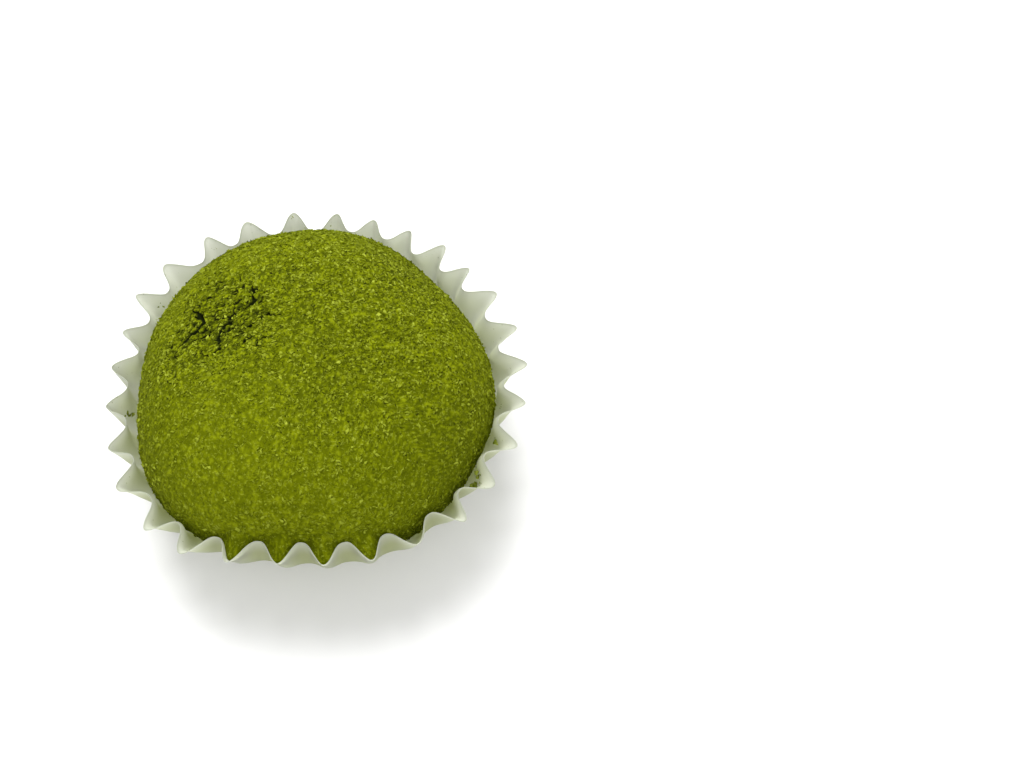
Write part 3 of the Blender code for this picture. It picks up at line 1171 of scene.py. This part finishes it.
def grain_material(name, low, high):
    made, tree, shader = new_material(name, roughness=0.9, gloss=DRY_GLOSS)
    pattern = add_pattern(tree, CHIP_GRAIN)
    each = mix_colours(tree, stored_value(tree, "grain_shade"), low, high)
    gaps = calculate(tree, "MULTIPLY", pattern["Gaps"], CHIP_GAP_SHARE)
    each = mix_colours(tree, gaps, each, GAP_SHADE_GREEN)
    tree.links.new(each, shader.inputs["Base Color"])
    add_bump(tree, shader, pattern["Height"], strength=0.35, distance=0.05 * MM)
    return made


for piece, name, low, high in GRAIN_COLOURS:
    piece.data.materials.append(grain_material(name, low, high))
print([material.name for material in bpy.data.materials if "tea" in material.name])

# %% [markdown]
# ## The paper
# Greaseproof paper is white but lets light through, so a flute with nothing behind it glows.
# That is a mix of a matt white surface and a Translucent shader. Faint fibres and broad pale
# clouds give it some life. Where the cake lies against it, a stored painted green shade turns it
# green and darker, for the cake's green shining through and the shade it lies in. The cut edge
# is painted a little darker, a painted shade that tones down the light it catches, so that the
# rim reads as a line.

# %% Make the paper material
PAPER_WHITE = (0.81, 0.82, 0.775, 1)
PAPER_SHADE = (0.75, 0.765, 0.70, 1)
PAPER_EDGE_SHADE = (0.62, 0.64, 0.55, 1)
PAPER_PAINTED_SHADE = (0.56, 0.60, 0.29, 1)
PAINTED_SHADE_SHARE = 0.85
PAPER_GLOSS = 0.35
LIGHT_THROUGH = 0.6
FIBRE_SIZE = 0.35 * MM
CLOUD_SIZE = 4.9 * MM


def paper_material():
    made, tree, shader = new_material("greaseproof_paper", roughness=0.55, gloss=PAPER_GLOSS)
    places = add_node(tree, "TexCoord")
    fibres = add_node(tree, "TexNoise", Scale=1 / FIBRE_SIZE, Detail=4.0, Roughness=0.65)
    clouds = add_node(tree, "TexNoise", Scale=1 / CLOUD_SIZE, Detail=2.0)
    for texture in (fibres, clouds):
        tree.links.new(places.outputs["Object"], texture.inputs["Vector"])
    colour = mix_colours(tree, clouds.outputs["Fac"], PAPER_SHADE, PAPER_WHITE)
    # Painted shade: the paper turns a darker green where the cake lies behind it, most at the front.
    tint = calculate(tree, "MULTIPLY", stored_value(tree, "painted_green_shade"), PAINTED_SHADE_SHARE)
    colour = mix_colours(tree, tint, colour, PAPER_PAINTED_SHADE)
    # Painted shade: the cut edge is darker to tone down the light it catches.
    colour = mix_colours(tree, stored_value(tree, "cut_edge"), colour, PAPER_EDGE_SHADE)
    tree.links.new(colour, shader.inputs["Base Color"])
    add_bump(tree, shader, fibres.outputs["Fac"], strength=0.25, distance=0.03 * MM)
    glow = add_node(tree, "BsdfTranslucent")
    tree.links.new(colour, glow.inputs["Color"])
    both = add_node(tree, "MixShader", Fac=LIGHT_THROUGH)
    tree.links.new(shader.outputs["BSDF"], both.inputs[1])
    tree.links.new(glow.outputs["BSDF"], both.inputs[2])
    tree.links.new(both.outputs["Shader"], tree.nodes["Material Output"].inputs["Surface"])
    return made


paper.data.materials.append(paper_material())
print("paper lets through", LIGHT_THROUGH, "of the light")

# %% [markdown]
# ## Floor and light
# The picture is bright and nearly without shadows, with white all round. One large soft
# light above and behind, a little to the left, shapes the dome. Two weak ones lighten the
# front from both sides, and a white surrounding fills the folds.

# %% Put down the floor
FLOOR_SIDE = 3.0
FLOOR_WHITE = (0.84, 0.84, 0.84, 1)
floor_sheet = bmesh.new()
bmesh.ops.create_grid(floor_sheet, x_segments=1, y_segments=1, size=FLOOR_SIDE / 2)
floor_mesh = bpy.data.meshes.new("pale_floor")
floor_sheet.to_mesh(floor_mesh)
floor_sheet.free()
floor = add_piece("pale_floor", floor_mesh)
floor_material, _, floor_shader = new_material("pale_floor", roughness=0.8, gloss=PAPER_GLOSS)
floor_shader.inputs["Base Color"].default_value = FLOOR_WHITE
floor_mesh.materials.append(floor_material)
print("floor:", FLOOR_SIDE, "m wide")

# %% Set up the lights
# Name, place, side of the square and watts.
LIGHTS = (
    ("window_light", (-0.10, 0.36, 0.60), 0.45, 6.7),
    ("side_fill", (0.35, -0.45, 0.45), 0.60, 2.1),
    ("front_fill", (-0.30, -0.50, 0.30), 0.60, 0.9),
)
LIGHT_TARGET = Vector((0, 0, 0.02))
ROOM_WHITE = (1, 1, 1, 1)
ROOM_BRIGHTNESS = 0.6


def add_sheet_light(name, place, side, watts):
    """A square area light that faces the cake."""
    data = bpy.data.lights.new(name, "AREA")
    data.size = side
    data.energy = watts
    lamp = bpy.data.objects.new(name, data)
    lamp.location = place
    lamp.rotation_euler = (LIGHT_TARGET - Vector(place)).to_track_quat("-Z", "Y").to_euler()
    bpy.context.scene.collection.objects.link(lamp)


for light in LIGHTS:
    add_sheet_light(*light)
world = bpy.data.worlds.new("white_room")
world.use_nodes = True
background = world.node_tree.nodes["Background"]
background.inputs["Color"].default_value = ROOM_WHITE
background.inputs["Strength"].default_value = ROOM_BRIGHTNESS
bpy.context.scene.world = world
bpy.context.scene.view_settings.view_transform = "Standard"

# %% [markdown]
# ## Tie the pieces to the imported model
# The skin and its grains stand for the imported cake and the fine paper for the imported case.
# Nothing moves, so all of them ride on the one body.

# %% Ride, replace and finish
cake_pieces = (cake, pale_and_highlight_grains, green_grains, shade_grains)
for piece in (*cake_pieces, paper, wedge, crumbs):
    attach(piece, "root")
for piece in cake_pieces:
    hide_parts("rice_cake")
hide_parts("paper_case")
